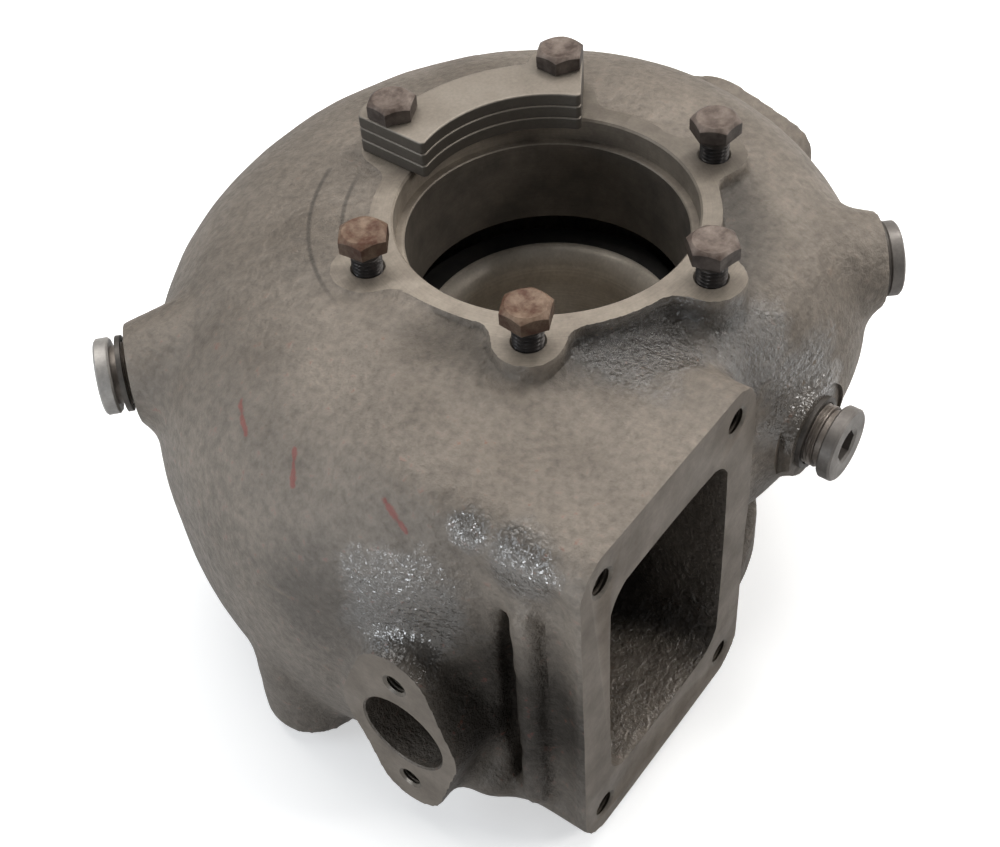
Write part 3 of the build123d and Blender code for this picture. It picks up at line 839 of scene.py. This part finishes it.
def cast_iron():
    """Grey iron cast in sand, years in service.

    The eye sees a warm grey, grainy skin, darker towards the bottom, with soot and painted shade in
    corners, painted shade in recesses, painted light on the inlet's floor, oily patches that glint and a
    few paint dashes. Sizes of the patterns are in millimetres.
    """
    made, tree = new_material("grey_iron_sand_cast")
    at = millimetres(tree)
    side, across, height = add(tree, "SeparateXYZ", at).outputs
    radius = axis_distance(tree, at)
    cloud = add(tree, "TexNoise", Vector=at, Scale=1 / 55, Detail=4.0, Roughness=0.55)
    stain = add(tree, "TexNoise", Vector=at, Scale=1 / 15, Detail=5.0, Roughness=0.6)
    pit = add(tree, "TexNoise", Vector=at, Scale=1 / 3.6, Detail=5.0, Roughness=0.62)
    grain = add(tree, "TexNoise", Vector=at, Scale=1 / 1.5, Detail=2.0, Roughness=0.5)
    coarse = add(tree, "TexNoise", Vector=at, Scale=1 / 7.5, Detail=6.0, Roughness=0.65)
    ripple = add(tree, "TexNoise", Vector=at, Scale=1 / 2.2, Detail=1.0, Roughness=0.5)

    # The film breaks up along the 15 mm stains, so its rim is ragged
    oil = add(tree, "Math", near_any(tree, at, OILY), stain, operation="ADD")
    oil = add(tree, "MapRange", oil, 0.66, 1.0, 0, 1)
    lumpy = add(tree, "MapRange", near_any(tree, at, LUMPY), 0.1, 0.6, 0, 1)
    # Places of painted shade: the corner beside the inlet neck, which also has soot, and the foot of the
    # ring's wall
    corner = near_point(tree, at, *CORNER_SOOT_AND_SHADE)
    ring_root_shade = product(tree, (radius, 78, 94, 1, 0), (height, -6, -1, 1, 0))
    shade = product(
        tree,
        (stain, *NOISE, 0.93, 1.05),
        (pit, *NOISE, 0.74, 1.2),
        # darker towards the bottom
        (height, -160, -50, 0.66, 1.0),
        # painted shade, with soot, in the corner beside the inlet neck
        (corner, 0.1, 0.65, 1.0, 0.22),
        # painted shade at the foot of the ring's wall
        (ring_root_shade, 0, 1, 1.0, 0.42),
        (oil, 0, 1, 1.0, 0.52),
        # painted shade low on the left flank
        (near_point(tree, at, *LEFT_FLANK_SHADE), 0.0, 0.6, 1.0, 0.6),
        # painted shade deep in the inlet
        (near_point(tree, at, *INLET_SHADE), 0.05, 0.4, 1.0, 0.3),
        # painted light on the inlet's floor, which is made much lighter
        (near_point(tree, at, *INLET_FLOOR_LIGHT), 0.1, 0.6, 1.0, 3.4),
        (tool_ring(tree, radius, side, across, FACING_STEP_RADIUS), 0, 1, 1, 0),
        (tool_ring(tree, radius, side, across, FACING_RADIUS), 0, 1, 1, 0),
    )
    colour = tones(tree, cloud, ((0.32, "685f55"), (0.5, "766d63"), (0.7, "82786d")))
    colour = shaded(tree, colour, shade)
    # Rust freckles where the pits are deep
    freckle = product(tree, (pit, 0.6, 0.72, 0, 0.6), (stain, 0.5, 0.65, 0, 1))
    colour = add(tree, "Mix", freckle, colour, linear("6a4632"), data_type="RGBA")
    mark = paint_dashes(tree, at, side, pit)
    colour = add(tree, "Mix", mark, colour, linear("823630"), data_type="RGBA")

    oily_roughness = add(tree, "MapRange", oil, 0, 1, 0.55, 0.22)
    pit_roughness = add(tree, "MapRange", pit, *NOISE, 0.08, -0.08)
    rough = add(tree, "Math", oily_roughness, pit_roughness, operation="ADD")
    # The iron's relief: pits, grains that an oily place shows more of, and lumps where it is lumpy
    grain = product(tree, (grain, 0, 1, 0, 1), (oil, 0, 1, 0.3, 0.5))
    coarse = product(tree, (coarse, 0, 1, 0, 1), (lumpy, 0, 1, 0.22, 3.2))
    relief = add(tree, "Math", add(tree, "Math", pit, grain, operation="ADD"), coarse, operation="ADD")
    # The film smooths over the finest grains and stands in 2 mm ripples, which glint one by one
    film = add(tree, "Math", coarse, 0.5, operation="MULTIPLY")
    film = add(tree, "Math", ripple, 1.15, film, operation="MULTIPLY_ADD")
    shader = add(
        tree, "BsdfPrincipled", Base_Color=colour, Metallic=0.12, Roughness=rough,
        Specular_IOR_Level=add(tree, "MapRange", corner, 0.1, 0.65, 0.5, 0.12),
        Normal=add(tree, "Bump", Strength=1.0, Distance=0.001, Height=relief),
        Coat_Weight=oil, Coat_Roughness=0.05,
        Coat_Normal=add(tree, "Bump", Strength=1.0, Distance=0.001, Height=film),
    )
    add(tree, "OutputMaterial", shader)
    return made


def worked_metal(
    name, stops, rough, metallic, cut=None, pitch=0.5, line=0.02, pits=0.05, size=14.0, upright_shade=0.0, stain=0.0
):
    """Metal worked by a tool: clouded tones, fine pits, and tool lines if cut says turned or milled.

    Turned lines follow the radius and the depth on the bore's axis, milled ones run level. Upright
    shade is painted shade: the share of the tone that upright faces lose. The stain argument is the share
    of the tone lost towards plus X, the bore's far side. The pitch of the lines and the size of the
    clouds are in millimetres.
    """
    made, tree = new_material(name)
    at = millimetres(tree)
    side, _, height = add(tree, "SeparateXYZ", at).outputs
    cloud = add(tree, "TexNoise", Vector=at, Scale=1 / size, Detail=5.0, Roughness=0.6)
    pit = add(tree, "TexNoise", Vector=at, Scale=1 / 1.4, Detail=3.0, Roughness=0.6)
    shades = [(pit, *NOISE, 0.9, 1.08)]
    relief = add(tree, "Math", pit, pits, operation="MULTIPLY")
    if cut:
        level = height
        if cut == "turned":
            level = add(tree, "Math", axis_distance(tree, at), height, operation="SUBTRACT")
        lines = add(tree, "TexNoise", W=level, Scale=1 / pitch, Detail=2.0, noise_dimensions="1D")
        relief = add(tree, "Math", lines, line, relief, operation="MULTIPLY_ADD")
        shades.append((lines, *NOISE, 0.93, 1.06))
    if stain:
        shades.append((side, -10, 60, 1.0, 1 - stain))
    # Painted shade: upright faces lose part of their tone
    if upright_shade:
        upward = add(tree, "SeparateXYZ", add(tree, "NewGeometry").outputs["Normal"]).outputs["Z"]
        shades.append((upward, 0.3, 0.8, 1 - upright_shade, 1.0))
    shader = add(
        tree, "BsdfPrincipled", Base_Color=shaded(tree, tones(tree, cloud, stops), product(tree, *shades)),
        Metallic=metallic, Roughness=add(tree, "MapRange", cloud, *NOISE, rough + 0.08, rough - 0.06),
        Normal=add(tree, "Bump", Strength=1.0, Distance=0.001, Height=relief),
    )
    add(tree, "OutputMaterial", shader)
    return made


iron_cast = cast_iron()
# Turned grey iron: a light dull grey with fine tool rings, browner on the bore's far side
iron_turned = worked_metal(
    "grey_iron_turned_dull", ((0.35, "7d7368"), (0.65, "93897c")), 0.5, 0.3, "turned", 0.6, 0.02, stain=0.34
)
# Sooty grey iron with painted shade: near black and matt, so the nozzle ring reads as a deep gap
iron_sooty_shaded = worked_metal("grey_iron_sooty_painted_shade", ((0.35, "1c1a19"), (0.65, "2e2a27")), 0.7, 0.0)
# Bored grey iron: a dark brown grey, darker than the turned faces as painted shade in the bore, with a faint
# sheen
iron_bore_shaded = worked_metal(
    "grey_iron_bored_painted_shade", ((0.35, "4b4640"), (0.65, "605951")), 0.45, 0.3, "turned", 0.5, 0.02
)
# Turned grey iron with painted light: the lightest iron, which shows as a pale band on the shroud
iron_shroud_lit = worked_metal(
    "grey_iron_turned_painted_light", ((0.35, "b3a99b"), (0.65, "c5bbad")), 0.42, 0.3, "turned", 0.8, 0.02
)
# Milled grey iron: flat brown-grey flange faces with level cutter lines
iron_milled = worked_metal(
    "grey_iron_milled", ((0.35, "5e554b"), (0.65, "71675c")), 0.5, 0.25, "milled", 0.7, 0.02
)
# Tapped grey iron: hole walls, a little lighter than the faces, so that threads show
iron_tapped = worked_metal(
    "grey_iron_tapped", ((0.35, "4d473f"), (0.65, "696157")), 0.45, 0.3, pits=0.04, size=4.0
)
# Stamped steel plates: smooth light tops, and upright edges dark with painted shade
steel_plate = worked_metal(
    "steel_stamped", ((0.35, "7f766b"), (0.65, "8f867b")), 0.46, 0.35, pits=0.02, size=30.0, upright_shade=0.72
)
# Forged steel bolt heads: aged brown, or rusted to a redder brown with deeper pits, with painted shade on
# their upright sides
steel_bolt = worked_metal(
    "steel_bolt_aged", ((0.36, "4a3c34"), (0.5, "655850"), (0.66, "7b6e65")), 0.5, 0.3,
    pits=0.12, size=6.0, upright_shade=0.6,
)
steel_rust = worked_metal(
    "steel_bolt_rusted", ((0.36, "50301f"), (0.5, "67503f"), (0.64, "7c6654")), 0.55, 0.2,
    pits=0.25, size=5.0, upright_shade=0.5,
)
# Rolled bolt threads, black with oil
steel_thread = worked_metal(
    "steel_thread_oily", ((0.35, "242120"), (0.65, "3d3835")), 0.34, 0.5, pits=0.03, size=4.0
)
# Turned steel plugs: dull grey heads, one of them a lighter copy as painted light, and worn brownish threads
steel_plug = worked_metal(
    "steel_plug_dull", ((0.35, "68635f"), (0.65, "7d7873")), 0.46, 0.4, pits=0.04, size=8.0
)
steel_plug_lit = worked_metal(
    "steel_plug_painted_light", ((0.35, "928e8a"), (0.65, "a7a39e")), 0.42, 0.4, pits=0.04, size=8.0
)
steel_plug_thread = worked_metal(
    "steel_plug_thread_worn", ((0.35, "6e655d"), (0.65, "877e76")), 0.45, 0.4, pits=0.03, size=6.0
)
# Stamped steel sealing rings: thin, dark and dull
steel_ring = worked_metal(
    "steel_sealing_ring", ((0.35, "423e3a"), (0.65, "5a544e")), 0.5, 0.3, pits=0.03, size=8.0
)

CAST, TURNED, SOOTY_SHADED, BORED_SHADED, SHROUD_LIT, MILLED, TAPPED = range(7)


def finish_casting():
    """Gives each face of the casting its finish, by where it lies."""
    mesh = casting.data
    mesh.materials.clear()
    for metal in (iron_cast, iron_turned, iron_sooty_shaded, iron_bore_shaded, iron_shroud_lit, iron_milled, iron_tapped):
        mesh.materials.append(metal)
    (x, y, z), (nx, ny, nz) = face_places(mesh)
    radius = np.hypot(x, y)
    inward = (x * nx + y * ny) < 0
    near = 0.05
    finish = np.full(len(x), CAST, np.int32)
    faced = (np.abs(z) < near) | (np.abs(z - FACING_STEP) < near)
    finish[faced & (nz > 0.9)] = TURNED
    finish[(radius < SEAT_RADIUS + 1) & (z > -SEAT_DEPTH - 0.6)] = TURNED
    # The bore's wall takes the finish with painted shade
    bore_wall = inward & (radius < SEAT_RADIUS + 0.1) & (z < -SEAT_DEPTH - 0.6)
    finish[bore_wall & (z > -NOZZLE_TOP)] = BORED_SHADED
    below = (radius < NOZZLE_RADIUS + 0.5) & (z < -NOZZLE_TOP + 0.1)
    # The shroud, throat and outlet take the finish with painted light
    finish[below & inward] = SHROUD_LIT
    # The nozzle ring takes the sooty finish with painted shade
    finish[below & (z > -NOZZLE_TOP - NOZZLE_WIDTH - 0.1)] = SOOTY_SHADED
    finish[(np.abs(y - INLET[1]) < near) & (ny < -0.9)] = MILLED
    finish[(np.abs(x - COOLANT_IN[0]) < near) & (nx < -0.9)] = MILLED
    finish[(np.abs(x - COOLANT_OUT[0]) < near) & (nx > 0.9)] = MILLED
    finish[z < -STAND_HEIGHT + near] = MILLED
    for place, reach, depth in hole_places:
        u, v, w = ((np.stack((x, y, z), 1) - place[:3, 3]) @ place[:3, :3]).T
        finish[(np.hypot(u, v) < reach) & (w < -near) & (w > -depth)] = TAPPED
    mesh.polygons.foreach_set("material_index", finish)


finish_casting()
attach(casting, "root")
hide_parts("turbine_housing")
for node, piece in bolts.items():
    # The two bolts at the left and in front are the rusty ones
    piece.data.materials.append(steel_rust if node in ("clamp_bolt_5", "clamp_bolt_6") else steel_bolt)
    piece.data.materials.append(steel_thread)
    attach(piece, "root")
    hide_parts(node)
for node, piece in plugs.items():
    # The left plug's head takes the lighter copy, as painted light
    piece.data.materials.append(steel_plug_lit if node == "screw_plug_left" else steel_plug)
    piece.data.materials.append(steel_plug_thread)
    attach(piece, "root")
    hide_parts(node)
for start, metal in (("clamp_plate", steel_plate), ("sealing_ring", steel_ring)):
    for name, node in nodes.items():
        if name.startswith(start):
            node.data.materials.clear()
            node.data.materials.append(metal)


# Floor, light and camera, in metres

def pale_floor():
    """A floor that lights the part dully from below, and that the camera sees as near white."""
    made, tree = new_material("floor_pale")
    path = add(tree, "LightPath")
    dull = add(tree, "BsdfDiffuse", Color=(0.12, 0.12, 0.12, 1))
    white = add(tree, "BsdfDiffuse", Color=(0.85, 0.85, 0.85, 1))
    glow = add(tree, "Emission", Color=(1, 1, 1, 1), Strength=0.45)
    bright = add(tree, "AddShader", white, glow)
    # Reflections see a floor part way between the two
    glossy, camera = path.outputs["Is Glossy Ray"], path.outputs["Is Camera Ray"]
    seen = add(tree, "Math", glossy, 0.6, camera, operation="MULTIPLY_ADD")
    both = add(tree, "MixShader", seen, dull, bright)
    # Far out the floor is plain white, so that no horizon shows
    away = add(tree, "VectorMath", add(tree, "TexCoord").outputs["Object"], operation="LENGTH")
    away = add(tree, "Math", add(tree, "MapRange", away, 0.7, 2.2, 0, 1), camera, operation="MULTIPLY")
    plain = add(tree, "Emission", Color=(1, 1, 1, 1), Strength=1.0)
    add(tree, "OutputMaterial", add(tree, "MixShader", away, both, plain))
    return made


def studio_world():
    """Dim daylight all round, behind a background that the camera sees as white."""
    made = bpy.data.worlds.new("studio")
    made.use_nodes = True
    tree = made.node_tree
    tree.nodes.clear()
    daylight = add(tree, "Background", Color=(0.93, 0.96, 1.0, 1), Strength=0.16)
    white = add(tree, "Background", Color=(1, 1, 1, 1), Strength=1.0)
    camera = add(tree, "LightPath").outputs["Is Camera Ray"]
    add(tree, "OutputWorld", add(tree, "MixShader", camera, daylight, white))
    return made


def lamp(name, place, size, power, colour, target=(0, 0, -0.06)):
    """A square soft lamp that looks at a target, with its power in watts."""
    light = bpy.data.lights.new(name, "AREA")
    light.size, light.energy, light.color = size, power, colour
    holder = bpy.data.objects.new(name, light)
    holder.location = place
    holder.rotation_euler = (Vector(target) - Vector(place)).to_track_quat("-Z", "Y").to_euler()
    bpy.context.scene.collection.objects.link(holder)


FLOOR_REACH = 9000.0
corners = np.array([(-1, -1, 0), (1, -1, 0), (1, 1, 0), (-1, 1, 0)]) * FLOOR_REACH
floor = new_object("floor", corners - (0, 0, STAND_HEIGHT), [(0, 1, 2, 3)])
floor.data.materials.append(pale_floor())
bpy.context.scene.world = studio_world()

WARM, COOL = (1.0, 0.98, 0.95), (0.86, 0.93, 1.0)
lamp("top", (0.3, 0.6, 1.5), 1.4, 22.0, WARM)
lamp("left", (-1.1, 1.2, 0.65), 0.9, 8.5, COOL)
lamp("right", (1.3, -0.4, 0.7), 0.9, 8.5, (1.0, 0.97, 0.93))
lamp("front", (0.45, -1.25, 0.7), 0.4, 8.5, WARM, (-0.08, -0.1, -0.12))
# Two small strong lamps give the oily film its white glints
lamp("glint_left", (-1.2, 0.0, 0.02), 0.3, 6.0, (0.9, 0.95, 1.0), (-0.14, -0.04, -0.06))
lamp("glint_top", (0.85, -0.1, 1.3), 0.3, 6.0, WARM)

# The camera stands where the photo was taken from, left of the inlet and above it
lens = bpy.data.cameras.new("camera")
lens.sensor_width, lens.lens = 36.0, 57.689
lens.clip_start, lens.clip_end = 0.05, 50.0
camera = bpy.data.objects.new("camera", lens)
right, up, back = (0.58745, -0.8075, -0.05335), (0.60716, 0.3962, 0.68875), (-0.53503, -0.437, 0.72303)
eye = (-0.39544, -0.29153, 0.39493)
camera.matrix_world = Matrix([(right[k], up[k], back[k], eye[k]) for k in range(3)] + [(0, 0, 0, 1)])
bpy.context.scene.collection.objects.link(camera)
bpy.context.scene.camera = camera
bpy.context.scene.view_settings.view_transform = "Standard"
